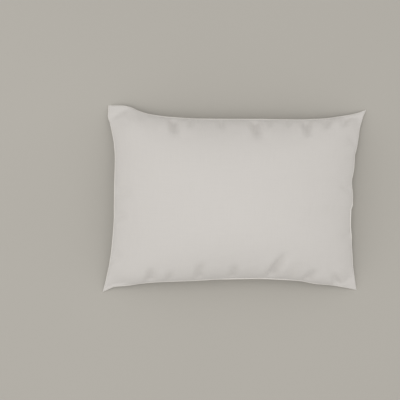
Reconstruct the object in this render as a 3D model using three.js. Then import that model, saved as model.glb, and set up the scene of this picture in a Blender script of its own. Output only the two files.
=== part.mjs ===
// Bed pillow in an envelope pillowcase, lying flat.
// Millimetres, +Z up, +X towards the mouth of the case. The origin is under the middle of the outline.
//
// Every layer of the pillow is the same cushion shape at its own depth below the case's skin. The shape is
// drawn over a square, a from -1 at the closed end to 1 at the mouth and b from -1 at the near side to 1 at
// the far side, which a patch of four bowed edges carries onto the outline.
import * as THREE from "three";

// ---------- Driving dimensions ----------

const CASE_LENGTH = 700; // closed end to mouth, seam to seam, laid flat
const CASE_WIDTH = 500; // near side to far side, seam to seam, laid flat
const LOFT = 150; // height of the filled pillow at its middle

const CASE_CLOTH = 0.8; // drawn thickness of the case's cloth
const TICKING_CLOTH = 0.8; // drawn thickness of the insert's cloth
const LABEL_CLOTH = 0.5; // drawn thickness of a woven label
const LAYER_GAP = 0.3; // clearance between two layers that lie on each other

const SEAM_RIM = 5; // how far a pressed seam stands out past the stitching
const SEAM_BITE = 1.6; // how far its allowance reaches in between the panels
const SEAM_THICKNESS = 1.4; // the folded layers of a seam, and of the fold at the mouth

const SIDE_SEAM_HEIGHT = 50; // height of the knife edge halfway along a side
const CORNER_SEAM_HEIGHT = 5; // height of the knife edge at a corner

const BACK_HEM_REACH = 22; // how far the back panel's hem reaches in from the mouth
const FLAP_REACH = 150; // how far the tuck-in flap reaches in from the mouth
const FLAP_HEM_WIDTH = 15; // width of the hem on its free edge
const FLAP_SIDE_EASE = 20; // how far the flap and the hems stop short of the side seams

const PIPING_DIAMETER = 4; // corded edge of the insert
const CLOSING_STITCH_LENGTH = 150; // stitched shut after filling, at the closed end
const CLOSING_STITCH_WIDTH = 2;
const CLOSING_STITCH_INSET = 6; // from the ticking's edge

const CARE_LABEL_WIDTH = 24; // along the seam
const CARE_LABEL_LENGTH = 45; // in from the seam
const CARE_LABEL_PLACE = 110; // from the middle of the pillow towards the mouth
const TICKING_LABEL_WIDTH = 36;
const TICKING_LABEL_LENGTH = 60;
const TICKING_LABEL_PLACE = -150;
const LABEL_SEAM_EASE = 5; // how far a label starts inside the seam line

// How each corner of the filled case lies: its shift from the corner of the flat case, the length of edge
// there that has nothing behind it and stays straight, how quickly the edges draw in after that, and how
// far the insert's own corner stays back inside it.
const CORNERS = {
  closedFar: { side: [-1, 1], shift: [8, 2], empty: 45, reach: 55, insertSlack: 50 },
  mouthFar: { side: [1, 1], shift: [8, -10], empty: 0, reach: 90, insertSlack: 32 },
  mouthNear: { side: [1, -1], shift: [-19, 4], empty: 0, reach: 110, insertSlack: 32 },
  closedNear: { side: [-1, -1], shift: [-8, -2], empty: 0, reach: 70, insertSlack: 32 },
};

// The four edges of the case, and how far the filling draws each one in at its middle.
const EDGES = {
  far: { from: "closedFar", to: "mouthFar", inward: [0, -1], drawIn: 31 },
  near: { from: "closedNear", to: "mouthNear", inward: [0, 1], drawIn: 30 },
  closed: { from: "closedNear", to: "closedFar", inward: [1, 0], drawIn: 24 },
  mouth: { from: "mouthNear", to: "mouthFar", inward: [-1, 0], drawIn: 26 },
};

// ---------- Shape of the cushion ----------

const DRAW_SHARPNESS = 1.2; // how suddenly an edge starts to draw in
const CROWN_POWER = 2.6; // flatness of the crown across the middle
const CROWN_FULLNESS = 0.5; // 0.5 leaves the seam upright, as a filled knife edge does
const CORNER_THINNING = 0.6; // share of the fullness that is missing in a corner
const THINNING_POWER = 4; // how closely that thinning keeps to the corner
const DIP_START = 0.5; // share of the way from an edge's middle to its corner where the seam starts to dip
const DIP_END = 0.96; // and where it has reached the corner's height
const BELLY_FULLNESS = 1.5; // above 1, the underside is pressed flat where it lies

// ---------- Facets ----------

const LENGTH_STEPS = 14;
const WIDTH_STEPS = 12;
const PIPING_SIDES = 6;

// ---------- Depth of each layer below the case's skin ----------

const CASE_INSIDE = CASE_CLOTH;
const HEM_OUTSIDE = CASE_INSIDE + LAYER_GAP;
const HEM_INSIDE = HEM_OUTSIDE + CASE_CLOTH;
const FLAP_OUTSIDE = HEM_INSIDE + LAYER_GAP;
const FLAP_INSIDE = FLAP_OUTSIDE + CASE_CLOTH;
const FLAP_HEM_OUTSIDE = FLAP_INSIDE + LAYER_GAP;
const FLAP_HEM_INSIDE = FLAP_HEM_OUTSIDE + CASE_CLOTH;
const INSERT_BOTTOM = FLAP_HEM_INSIDE + LAYER_GAP;
const INSERT_TOP = CASE_INSIDE + LAYER_GAP;
const INSERT_EASE = SEAM_BITE + LAYER_GAP + PIPING_DIAMETER + LAYER_GAP;

const FILL_DEPTH = TICKING_CLOTH + LAYER_GAP; // below the ticking's skin

// Half of the space that the case's layers leave for the seam between them, and half the thickness of the
// filling at its own edge.
const CASE_SEAM_HALF = SEAM_THICKNESS / 2 + LAYER_GAP;
const FILL_EDGE_HALF = LAYER_GAP;

// A layer says how far its outline is inside the case's outline, how deep it lies under the top skin and over
// the bottom skin, how far above and below the seam's plane its edge is, and whether its corners stay back as
// the insert's do.
function caseLayer(depth) {
  return {
    inset: depth,
    top: depth,
    bottom: depth,
    aboveSeam: CASE_SEAM_HALF + CASE_INSIDE - depth,
    belowSeam: CASE_SEAM_HALF + HEM_INSIDE - depth,
    loose: false,
  };
}

function insertLayer(depth) {
  const edgeHalf = FILL_EDGE_HALF + FILL_DEPTH - depth;
  return {
    inset: INSERT_EASE + depth,
    top: INSERT_TOP + depth,
    bottom: INSERT_BOTTOM + depth,
    aboveSeam: edgeHalf,
    belowSeam: edgeHalf,
    loose: true,
  };
}

// ---------- Outline ----------

function cornerPoint(name, layer) {
  const { side, shift, insertSlack } = CORNERS[name];
  const inset = layer.inset + (layer.loose ? insertSlack : 0);
  return new THREE.Vector2(
    side[0] * (CASE_LENGTH / 2 - inset) + shift[0],
    side[1] * (CASE_WIDTH / 2 - inset) + shift[1],
  );
}

// Share of an edge's full draw-in at a distance from one of its corners.
function drawnShare(corner, distance) {
  const past = Math.max(0, distance - corner.empty) / corner.reach;
  return 1 - Math.exp(-(past ** DRAW_SHARPNESS));
}

function edgePoint(edgeName, t, layer) {
  const { from, to, inward, drawIn } = EDGES[edgeName];
  const share = (t + 1) / 2;
  const start = cornerPoint(from, layer);
  const end = cornerPoint(to, layer);
  const length = start.distanceTo(end);
  const drawn = drawnShare(CORNERS[from], share * length) * drawnShare(CORNERS[to], (1 - share) * length);
  const slack = layer.loose
    ? THREE.MathUtils.lerp(CORNERS[from].insertSlack, CORNERS[to].insertSlack, share)
    : 0;
  return start.lerp(end, share).addScaledVector(new THREE.Vector2(...inward), (drawIn - slack) * drawn);
}

function patchPoint(a, b, layer) {
  const u = (a + 1) / 2;
  const v = (b + 1) / 2;
  return new THREE.Vector2()
    .addScaledVector(edgePoint("near", a, layer), 1 - v)
    .addScaledVector(edgePoint("far", a, layer), v)
    .addScaledVector(edgePoint("closed", b, layer), 1 - u)
    .addScaledVector(edgePoint("mouth", b, layer), u)
    .addScaledVector(cornerPoint("closedNear", layer), -(1 - u) * (1 - v))
    .addScaledVector(cornerPoint("mouthNear", layer), -u * (1 - v))
    .addScaledVector(cornerPoint("closedFar", layer), -(1 - u) * v)
    .addScaledVector(cornerPoint("mouthFar", layer), -u * v);
}

// ---------- Heights ----------

// Height of the surface that the seam lies in. The insert's corners stay back from the case's, so a layer
// takes the height from where its point really lies in the case.
function seamHeight(a, b, layer) {
  const back = patchPoint(a, b, caseLayer(0)).sub(patchPoint(a, b, layer));
  const caseA = layer.loose ? a - back.x / (CASE_LENGTH / 2) : a;
  const caseB = layer.loose ? b - back.y / (CASE_WIDTH / 2) : b;
  const nearEnd = (s) => THREE.MathUtils.smoothstep(Math.abs(s), DIP_START, DIP_END);
  return THREE.MathUtils.lerp(SIDE_SEAM_HEIGHT, CORNER_SEAM_HEIGHT, nearEnd(caseA) * nearEnd(caseB));
}

// How full the cushion is, from 0 at its seam to 1 at its middle.
function fullness(a, b) {
  const rise = (s) => (1 - Math.abs(s) ** CROWN_POWER) ** CROWN_FULLNESS;
  return rise(a) * rise(b) * (1 - CORNER_THINNING * Math.abs(a * b) ** THINNING_POWER);
}

function topPoint(a, b, layer) {
  const { x, y } = patchPoint(a, b, layer);
  const seam = seamHeight(a, b, layer) + layer.aboveSeam;
  return new THREE.Vector3(x, y, THREE.MathUtils.lerp(seam, LOFT - layer.top, fullness(a, b)));
}

function bottomPoint(a, b, layer) {
  const { x, y } = patchPoint(a, b, layer);
  const seam = seamHeight(a, b, layer) - layer.belowSeam;
  const pressed = Math.min(1, BELLY_FULLNESS * fullness(a, b));
  return new THREE.Vector3(x, y, THREE.MathUtils.lerp(seam, layer.bottom, pressed));
}

// ---------- Lines of the shared grid ----------

const fromMouth = (reach) => 1 - reach / (CASE_LENGTH / 2);
const alongLength = (place) => place / (CASE_LENGTH / 2);
const fromNearSide = (reach) => -1 + reach / (CASE_WIDTH / 2);
const alongWidth = (place) => place / (CASE_WIDTH / 2);

const SIDE_LIMIT = 1 - FLAP_SIDE_EASE / (CASE_WIDTH / 2);
const CARE_LABEL = {
  a: [alongLength(CARE_LABEL_PLACE), alongLength(CARE_LABEL_PLACE + CARE_LABEL_WIDTH)],
  b: [fromNearSide(LABEL_SEAM_EASE), fromNearSide(LABEL_SEAM_EASE + CARE_LABEL_LENGTH)],
};
const TICKING_LABEL = {
  a: [alongLength(TICKING_LABEL_PLACE), alongLength(TICKING_LABEL_PLACE + TICKING_LABEL_WIDTH)],
  b: [fromNearSide(LABEL_SEAM_EASE), fromNearSide(LABEL_SEAM_EASE + TICKING_LABEL_LENGTH)],
};
const CLOSING_STITCH = {
  a: [alongLength(CLOSING_STITCH_INSET) - 1, alongLength(CLOSING_STITCH_INSET + CLOSING_STITCH_WIDTH) - 1],
  b: [-alongWidth(CLOSING_STITCH_LENGTH / 2), alongWidth(CLOSING_STITCH_LENGTH / 2)],
};
const BACK_HEM = { a: [fromMouth(BACK_HEM_REACH), 1], b: [-SIDE_LIMIT, SIDE_LIMIT] };
const FLAP = { a: [fromMouth(FLAP_REACH), 1], b: [-SIDE_LIMIT, SIDE_LIMIT] };
const FLAP_HEM = { a: [fromMouth(FLAP_REACH), fromMouth(FLAP_REACH - FLAP_HEM_WIDTH)], b: FLAP.b };

// Lines closer together at the edges, where the cushion turns down, with a line at every piece's limit, so
// that layers that lie on each other have the same facets.
function gridLines(steps, limits) {
  const lines = [...limits, -1, 1];
  for (let i = 1; i < steps; i++) {
    const line = Math.sin((Math.PI / 2) * ((2 * i) / steps - 1));
    const nearest = Math.min(...limits.map((limit) => Math.abs(limit - line)));
    if (nearest > 1 / steps ** 2) lines.push(line);
  }
  return [...new Set(lines)].sort((p, q) => p - q);
}

const SMALL_AREAS = [CARE_LABEL, TICKING_LABEL, CLOSING_STITCH, BACK_HEM, FLAP_HEM];
const A_LINES = gridLines(LENGTH_STEPS, SMALL_AREAS.flatMap((area) => area.a));
const B_LINES = gridLines(WIDTH_STEPS, SMALL_AREAS.flatMap((area) => area.b));

const WHOLE = { a: [-1, 1], b: [-1, 1] };
const linesIn = (lines, [low, high]) => lines.filter((line) => line >= low && line <= high);

// Points of one layer over an area of the grid: rows along a, each holding points along b.
function surface(pointAt, layer, area) {
  return linesIn(A_LINES, area.a).map((a) => linesIn(B_LINES, area.b).map((b) => pointAt(a, b, layer)));
}

// ---------- Solids ----------

// Closed solid from points and triangles, turned the right way out.
function solidGeometry(points, triangles) {
  let volume = 0;
  for (const [i, j, k] of triangles) {
    volume += points[i].dot(new THREE.Vector3().crossVectors(points[j], points[k]));
  }
  const outward = volume > 0 ? triangles : triangles.map(([i, j, k]) => [i, k, j]);
  const geometry = new THREE.BufferGeometry().setFromPoints(points);
  geometry.setIndex(outward.flat());
  geometry.computeVertexNormals();
  return geometry;
}

// Solid between two surfaces with the same rows and columns.
function slab(outer, inner) {
  const rows = outer.length;
  const columns = outer[0].length;
  const points = [...outer.flat(), ...inner.flat()];
  const at = (row, column, isInner) => (isInner ? rows * columns : 0) + row * columns + column;
  const triangles = [];
  const quad = (p, q, r, s) => triangles.push([p, q, r], [p, r, s]);
  for (let row = 0; row + 1 < rows; row++) {
    for (let column = 0; column + 1 < columns; column++) {
      quad(at(row, column), at(row + 1, column), at(row + 1, column + 1), at(row, column + 1));
      quad(at(row, column, true), at(row, column + 1, true), at(row + 1, column + 1, true),
        at(row + 1, column, true));
    }
    quad(at(row + 1, 0), at(row, 0), at(row, 0, true), at(row + 1, 0, true));
    quad(at(row, columns - 1), at(row + 1, columns - 1), at(row + 1, columns - 1, true),
      at(row, columns - 1, true));
  }
  for (let column = 0; column + 1 < columns; column++) {
    quad(at(0, column), at(0, column + 1), at(0, column + 1, true), at(0, column, true));
    quad(at(rows - 1, column + 1), at(rows - 1, column), at(rows - 1, column, true),
      at(rows - 1, column + 1, true));
  }
  return solidGeometry(points, triangles);
}

// Solid swept through sections of the same size, either closed into a ring or capped at its ends.
function sweep(sections, isRing) {
  const sides = sections[0].length;
  const points = sections.flat();
  const at = (section, side) => (section % sections.length) * sides + (side % sides);
  const triangles = [];
  for (let section = 0; section < sections.length - (isRing ? 0 : 1); section++) {
    for (let side = 0; side < sides; side++) {
      triangles.push([at(section, side), at(section + 1, side), at(section + 1, side + 1)]);
      triangles.push([at(section, side), at(section + 1, side + 1), at(section, side + 1)]);
    }
  }
  if (!isRing) {
    const last = sections.length - 1;
    for (let side = 1; side + 1 < sides; side++) {
      triangles.push([at(0, 0), at(0, side), at(0, side + 1)]);
      triangles.push([at(last, 0), at(last, side + 1), at(last, side)]);
    }
  }
  return solidGeometry(points, triangles);
}

// Section of a band that runs along an edge, from its inner layer out to its outer one. Each corner of the
// profile is [share of the way out, height over the seam].
function bandSection(edgeName, t, inner, outer, profile) {
  const [a, b] = { near: [t, -1], far: [t, 1], closed: [-1, t], mouth: [1, t] }[edgeName];
  const from = edgePoint(edgeName, t, inner);
  const to = edgePoint(edgeName, t, outer);
  const seam = seamHeight(a, b, inner);
  return profile.map(([out, up]) => {
    const { x, y } = from.clone().lerp(to, out);
    return new THREE.Vector3(x, y, seam + up);
  });
}

const EDGE_LINES = { near: A_LINES, far: A_LINES, closed: B_LINES, mouth: B_LINES };

// ---------- Materials ----------

function clothMaterial(color, roughness) {
  return new THREE.MeshStandardMaterial({ color, roughness, metalness: 0 });
}

const COTTON = () => clothMaterial(0xd6d0c8, 0.9);
const TICKING = () => clothMaterial(0xe6e4de, 0.85);
const CORD = () => clothMaterial(0xdedbd4, 0.8);
const FIBRE = () => clothMaterial(0xf0efec, 1);
const LABEL = () => clothMaterial(0xf2f1ee, 0.7);
const THREAD = () => clothMaterial(0xc9c3ba, 0.7);

function piece(name, geometry, material) {
  const mesh = new THREE.Mesh(geometry, material);
  mesh.name = name;
  return mesh;
}

// ---------- Pillowcase ----------

function caseFrontPanel() {
  const skin = surface(topPoint, caseLayer(0), WHOLE);
  const inside = surface(topPoint, caseLayer(CASE_INSIDE), WHOLE);
  return piece("case_front_panel", slab(skin, inside), COTTON());
}

function caseBackPanel() {
  const skin = surface(bottomPoint, caseLayer(0), WHOLE);
  const inside = surface(bottomPoint, caseLayer(CASE_INSIDE), WHOLE);
  return piece("case_back_panel", slab(skin, inside), COTTON());
}

// A pressed seam between the two panels, mitred where it meets the next edge's.
function caseSeam(name, edgeName) {
  const half = SEAM_THICKNESS / 2;
  const profile = [[0, -half], [1, -half], [1, half], [0, half]];
  const lines = EDGE_LINES[edgeName];
  const length = edgeName === "closed" ? CASE_WIDTH : CASE_LENGTH;
  const limit = 1 - LAYER_GAP / (length / 2);
  const sections = lines.map((t) => bandSection(
    edgeName, THREE.MathUtils.clamp(t, -limit, limit), caseLayer(SEAM_BITE), caseLayer(-SEAM_RIM), profile,
  ));
  return piece(name, sweep(sections, false), COTTON());
}

function caseBackHem() {
  const under = surface(bottomPoint, caseLayer(HEM_OUTSIDE), BACK_HEM);
  const over = surface(bottomPoint, caseLayer(HEM_INSIDE), BACK_HEM);
  return piece("case_back_hem", slab(under, over), COTTON());
}

// The flap starts at the fold, which closes the seam plane at the mouth as the seams do at the other edges,
// and turns down inside the back panel's hem.
function caseFlap() {
  const bands = linesIn(B_LINES, FLAP.b);
  const foldRow = (inset, up) => bands.map((b) => {
    const { x, y } = patchPoint(1, b, caseLayer(inset));
    return new THREE.Vector3(x, y, seamHeight(1, b, caseLayer(0)) + up);
  });
  const half = SEAM_THICKNESS / 2;
  const sheetRows = (depth) => surface(bottomPoint, caseLayer(depth), FLAP).slice(0, -1);
  const under = [...sheetRows(FLAP_OUTSIDE), foldRow(FLAP_OUTSIDE, -half), foldRow(-SEAM_RIM, -half)];
  const over = [...sheetRows(FLAP_INSIDE), foldRow(FLAP_INSIDE, half), foldRow(-SEAM_RIM, half)];
  return piece("case_flap", slab(under, over), COTTON());
}

function caseFlapHem() {
  const under = surface(bottomPoint, caseLayer(FLAP_HEM_OUTSIDE), FLAP_HEM);
  const over = surface(bottomPoint, caseLayer(FLAP_HEM_INSIDE), FLAP_HEM);
  return piece("case_flap_hem", slab(under, over), COTTON());
}

function caseCareLabel() {
  const under = surface(bottomPoint, caseLayer(HEM_OUTSIDE), CARE_LABEL);
  const over = surface(bottomPoint, caseLayer(HEM_OUTSIDE + LABEL_CLOTH), CARE_LABEL);
  return piece("case_care_label", slab(under, over), LABEL());
}

function pillowcase() {
  return new THREE.Group().add(
    caseFrontPanel(),
    caseBackPanel(),
    caseSeam("case_far_side_seam", "far"),
    caseSeam("case_near_side_seam", "near"),
    caseSeam("case_closed_end_seam", "closed"),
    caseBackHem(),
    caseFlap(),
    caseFlapHem(),
    caseCareLabel(),
  );
}

// ---------- Insert ----------

function tickingUpperPanel() {
  const skin = surface(topPoint, insertLayer(0), WHOLE);
  const inside = surface(topPoint, insertLayer(TICKING_CLOTH), WHOLE);
  return piece("ticking_upper_panel", slab(skin, inside), TICKING());
}

function tickingLowerPanel() {
  const skin = surface(bottomPoint, insertLayer(0), WHOLE);
  const inside = surface(bottomPoint, insertLayer(TICKING_CLOTH), WHOLE);
  return piece("ticking_lower_panel", slab(skin, inside), TICKING());
}

// The corded edge, a ring around the ticking's seam.
function tickingPiping() {
  const radius = PIPING_DIAMETER / 2;
  const profile = [];
  for (let side = 0; side < PIPING_SIDES; side++) {
    const turn = (2 * Math.PI * side) / PIPING_SIDES;
    profile.push([(1 + Math.cos(turn)) / 2, radius * Math.sin(turn)]);
  }
  const inner = insertLayer(-LAYER_GAP);
  const outer = insertLayer(-LAYER_GAP - PIPING_DIAMETER);
  const along = (edgeName, isReversed) => {
    const lines = isReversed ? [...EDGE_LINES[edgeName]].reverse() : EDGE_LINES[edgeName];
    return lines.slice(0, -1).map((t) => bandSection(edgeName, t, inner, outer, profile));
  };
  const sections = [
    ...along("near", false),
    ...along("mouth", false),
    ...along("far", true),
    ...along("closed", true),
  ];
  return piece("ticking_piping", sweep(sections, true), CORD());
}

function fibreFill() {
  const upper = surface(topPoint, insertLayer(FILL_DEPTH), WHOLE);
  const lower = surface(bottomPoint, insertLayer(FILL_DEPTH), WHOLE);
  return piece("fibre_fill", slab(upper, lower), FIBRE());
}

// Pieces that lie on the underside of the ticking: a strip of stitching and a label.
function onTicking(name, area, thickness, material) {
  const against = surface(bottomPoint, insertLayer(-LAYER_GAP), area);
  const outside = surface(bottomPoint, insertLayer(-LAYER_GAP - thickness), area);
  return piece(name, slab(against, outside), material);
}

function insert() {
  return new THREE.Group().add(
    tickingUpperPanel(),
    tickingLowerPanel(),
    tickingPiping(),
    fibreFill(),
    onTicking("ticking_closing_stitch", CLOSING_STITCH, LABEL_CLOTH, THREAD()),
    onTicking("ticking_label", TICKING_LABEL, LABEL_CLOTH, LABEL()),
  );
}

// ---------- The pillow, with the origin under the middle of its outline ----------

function outlineMiddle() {
  const box = new THREE.Box2();
  for (const edgeName of Object.keys(EDGES)) {
    for (const t of EDGE_LINES[edgeName]) box.expandByPoint(edgePoint(edgeName, t, caseLayer(-SEAM_RIM)));
  }
  return box.getCenter(new THREE.Vector2());
}

const pillow = new THREE.Group().add(pillowcase(), insert());
const middle = outlineMiddle();
pillow.position.set(-middle.x, -middle.y, 0);

export default pillow;
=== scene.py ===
import math

import bmesh
import bpy
import numpy as np
from bpy.props import FloatProperty, FloatVectorProperty, IntProperty, PointerProperty
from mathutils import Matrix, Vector
from mathutils.bvhtree import BVHTree


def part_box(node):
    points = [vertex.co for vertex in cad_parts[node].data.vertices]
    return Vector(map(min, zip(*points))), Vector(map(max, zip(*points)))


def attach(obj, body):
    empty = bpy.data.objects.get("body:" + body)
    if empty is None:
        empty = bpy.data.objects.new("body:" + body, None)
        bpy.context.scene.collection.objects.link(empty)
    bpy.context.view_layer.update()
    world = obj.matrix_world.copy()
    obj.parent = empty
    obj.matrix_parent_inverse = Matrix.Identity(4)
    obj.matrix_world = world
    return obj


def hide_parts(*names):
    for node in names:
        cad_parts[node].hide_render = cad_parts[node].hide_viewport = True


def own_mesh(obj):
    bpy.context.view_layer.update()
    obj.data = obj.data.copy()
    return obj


bl_info = {
    "name": "Bed pillow",
    "version": (1, 0, 0),
    "blender": (4, 5, 0),
    "location": "View3D > Sidebar > Pillow",
    "description": "Makes a filled bed pillow in its envelope case, and the insert inside it",
    "category": "Add Mesh",
}

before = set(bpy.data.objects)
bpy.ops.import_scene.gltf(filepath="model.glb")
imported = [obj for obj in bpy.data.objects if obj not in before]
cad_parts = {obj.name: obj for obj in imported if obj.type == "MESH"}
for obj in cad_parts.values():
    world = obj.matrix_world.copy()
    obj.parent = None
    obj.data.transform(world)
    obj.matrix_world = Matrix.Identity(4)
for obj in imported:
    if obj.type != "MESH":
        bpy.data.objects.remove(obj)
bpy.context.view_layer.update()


# ---------- What the frame gives ----------


def outermost(node, x, y):
    """The point of one of the frame's nodes that lies furthest in a level direction."""
    points = np.array([v.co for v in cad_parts[node].data.vertices])
    return points[np.argmax(points[:, 0] * x + points[:, 1] * y)][:2]


CORNER_SIDES = {
    "closed_far": (-1, 1),
    "mouth_far": (1, 1),
    "mouth_near": (1, -1),
    "closed_near": (-1, -1),
}
CASE_CORNERS = {
    "closed_far": outermost("case_far_side_seam", -1, 1),
    "mouth_far": outermost("case_far_side_seam", 1, 1),
    "mouth_near": outermost("case_near_side_seam", 1, -1),
    "closed_near": outermost("case_near_side_seam", -1, -1),
}
INSERT_CORNERS = {name: outermost("ticking_piping", *side) for name, side in CORNER_SIDES.items()}

SEAM_HALF_THICKNESS = 0.0007
PIPING_RADIUS = 0.002
SIDE_SEAM_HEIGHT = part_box("case_far_side_seam")[1].z - SEAM_HALF_THICKNESS
CORNER_SEAM_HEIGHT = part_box("case_far_side_seam")[0].z + SEAM_HALF_THICKNESS
CASE_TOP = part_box("case_front_panel")[1].z
CASE_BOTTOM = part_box("case_back_panel")[0].z
INSERT_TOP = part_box("ticking_upper_panel")[1].z
INSERT_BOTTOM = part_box("ticking_lower_panel")[0].z
INSERT_CORNER_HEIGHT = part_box("ticking_piping")[0].z + PIPING_RADIUS

# How far each edge is drawn in from the straight line between its corners, in metres, at shares of
# the way from its first corner to its second.
EDGES = {
    "far": {
        "ends": ("closed_far", "mouth_far"),
        "inward": (0, -1),
        "drawn": (
            (0, 0), (0.055, 0.001), (0.085, 0.005), (0.125, 0.017), (0.17, 0.026), (0.25, 0.033),
            (0.36, 0.0365), (0.55, 0.035), (0.72, 0.034), (0.82, 0.0295), (0.9, 0.0205),
            (0.955, 0.012), (1, 0),
        ),
    },
    "near": {
        "ends": ("closed_near", "mouth_near"),
        "inward": (0, 1),
        "drawn": (
            (0, 0), (0.055, 0.0155), (0.1, 0.0185), (0.15, 0.024), (0.23, 0.0295), (0.35, 0.0325),
            (0.48, 0.0365), (0.6, 0.0375), (0.7, 0.034), (0.78, 0.028), (0.83, 0.0205),
            (0.9, 0.0145), (0.95, 0.008), (1, 0),
        ),
    },
    "closed": {
        "ends": ("closed_near", "closed_far"),
        "inward": (1, 0),
        "drawn": (
            (0, 0), (0.05, 0.007), (0.1, 0.0125), (0.17, 0.0195), (0.28, 0.026), (0.4, 0.029),
            (0.55, 0.0275), (0.7, 0.0265), (0.79, 0.0215), (0.845, 0.015), (0.9, 0.0075),
            (0.94, 0.0005), (1, 0),
        ),
    },
    "mouth": {
        "ends": ("mouth_near", "mouth_far"),
        "inward": (-1, 0),
        "drawn": (
            (0, 0), (0.09, 0.011), (0.14, 0.017), (0.22, 0.023), (0.3, 0.029), (0.38, 0.0345),
            (0.445, 0.035), (0.475, 0.031), (0.53, 0.032), (0.6, 0.0365), (0.68, 0.0315),
            (0.74, 0.0305), (0.78, 0.026), (0.84, 0.021), (0.895, 0.0175), (0.95, 0.01), (1, 0),
        ),
    },
}

# The empty tip of cloth at each corner of the case: how far it reaches along the length and the width.
CASE_TIPS = {
    "closed_far": (0.046, 0.037),
    "mouth_far": (0.024, 0.034),
    "mouth_near": (0.034, 0.03),
    "closed_near": (0.04, 0.024),
}
INSERT_TIPS = {name: (0.012, 0.012) for name in CORNER_SIDES}

# How much of the case's drawing-in the insert's edges have.
INSERT_DRAWN = 0.3

# The cushion's fullness falls off with this power of the way to a seam, and is then raised to a power
# along and one across. A lower sheet's fullness is cut off where it would pass 1, so that it lies flat.
FALL_OFF = 2.3
UPPER_POWERS = (0.74, 0.62)
LOWER_POWERS = (0.6, 0.55)
LOWER_FULLNESS = 1.35

# The empty tips end this far out and in, as shares of their reach.
TIP_FADE = (0.15, 2.8)

# The seam dips towards the corners from these shares of the way out, along and across.
DIP_STARTS = (0.3, 0.2)
DIP_POWER = 1.5

# Puckers, where the filling pulls the cloth in at a seam: the edge, the share of the way along it, the
# half width, the reach in from the seam, the depth and how far the far end leans along the edge.
PUCKERS = (
    ("far", 0.13, 0.010, 0.03, 0.004, 0.0),
    ("far", 0.256, 0.0135, 0.058, 0.019, 0.001),
    ("far", 0.322, 0.009, 0.032, 0.007, 0.0),
    ("far", 0.435, 0.010, 0.036, 0.009, 0.003),
    ("far", 0.563, 0.0145, 0.064, 0.019, 0.006),
    ("far", 0.617, 0.008, 0.028, 0.007, 0.0),
    ("far", 0.687, 0.008, 0.028, 0.006, 0.0),
    ("far", 0.757, 0.0125, 0.056, 0.018, 0.003),
    ("far", 0.842, 0.012, 0.036, 0.011, -0.004),
    ("far", 0.92, 0.013, 0.04, 0.012, -0.008),
    ("near", 0.19, 0.014, 0.048, 0.013, 0.004),
    ("near", 0.264, 0.010, 0.034, 0.008, 0.003),
    ("near", 0.379, 0.014, 0.06, 0.012, 0.008),
    ("near", 0.509, 0.012, 0.046, 0.010, 0.004),
    ("near", 0.65, 0.014, 0.084, 0.019, 0.044),
    ("near", 0.795, 0.013, 0.046, 0.013, 0.024),
    ("near", 0.92, 0.013, 0.042, 0.011, -0.01),
    ("closed", 0.19, 0.014, 0.04, 0.006, 0.008),
    ("closed", 0.41, 0.012, 0.04, 0.006, 0.004),
    ("closed", 0.535, 0.018, 0.06, 0.006, 0.0),
    ("mouth", 0.3, 0.014, 0.04, 0.005, 0.0),
    ("mouth", 0.56, 0.012, 0.042, 0.006, 0.006),
    ("mouth", 0.82, 0.014, 0.044, 0.007, 0.01),
)

# A pucker is whole between these shares of its reach, and has a low shoulder on both sides.
PUCKER_WHOLE = (0.15, 0.35)
SHOULDER_HEIGHT = 0.35
SHOULDER_WIDTH = 2.4

# Creases across the empty tips of cloth: the corner, where each crease starts and ends as steps in
# from the corner along the length and the width, its half width and its depth.
CREASES = (
    ("closed_far", (0.006, 0.036), (0.05, 0.008), 0.0075, 0.005),
    ("closed_near", (0.012, 0.010), (0.062, 0.024), 0.007, 0.006),
    ("mouth_far", (0.012, 0.03), (0.045, 0.018), 0.009, 0.006),
    ("mouth_near", (0.01, 0.036), (0.05, 0.016), 0.009, 0.004),
)

# The creases fade out over this distance from the seam.
CREASE_FADE = 0.012


# ---------- Sizes and colours that a user would change ----------


def length_setting(name, description, default):
    return FloatProperty(name=name, description=description, default=default, unit="LENGTH")


def colour_setting(name, description, default):
    return FloatVectorProperty(
        name=name, description=description, subtype="COLOR", default=default, min=0, max=1)


def size_setting(name, description, default):
    return FloatVectorProperty(name=name, description=description, size=2, default=default, unit="LENGTH")


class CaseSettings(bpy.types.PropertyGroup):
    """The pillowcase."""

    rim: length_setting("Rim", "How far the pressed rim stands out past the seam", 0.003)
    rim_drop: length_setting("Rim drop", "How far the rim hangs down", 0.0055)
    cloth: length_setting("Cloth", "Thickness of the case's cloth", 0.0006)
    columns: IntProperty(name="Columns", description="Mesh steps along the length", default=104, min=16)
    rows: IntProperty(name="Rows", description="Mesh steps across the width", default=74, min=12)
    give: length_setting("Give", "How far the cloth may move as it settles", 0.01)
    flap_reach: length_setting("Flap", "How far the tuck-in flap reaches in from the mouth", 0.15)
    back_hem: length_setting("Back hem", "Width of the back panel's hem", 0.022)
    colour: colour_setting("Colour", "Colour of the cotton", (0.645, 0.62, 0.592))


class InsertSettings(bpy.types.PropertyGroup):
    """The insert inside the case."""

    piping: length_setting("Piping", "Diameter of the corded edge", 2 * PIPING_RADIUS)
    cloth: length_setting("Cloth", "Thickness of the ticking", 0.0006)
    columns: IntProperty(name="Columns", description="Mesh steps along the length", default=100, min=16)
    rows: IntProperty(name="Rows", description="Mesh steps across the width", default=70, min=12)
    give: length_setting("Give", "How far the ticking may move as it settles", 0.008)
    colour: colour_setting("Colour", "Colour of the ticking", (0.8, 0.79, 0.76))


class StageSettings(bpy.types.PropertyGroup):
    """The floor, the light and the camera."""

    camera_height: length_setting("Camera height", "Above the floor", 2.3)
    floor_colour: colour_setting("Floor", "Colour of the floor", (0.47, 0.45, 0.41))


class PillowSettings(bpy.types.PropertyGroup):
    """All the pillow's settings."""

    case: PointerProperty(type=CaseSettings)
    insert: PointerProperty(type=InsertSettings)
    stage: PointerProperty(type=StageSettings)


# ---------- Small helpers ----------


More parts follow.
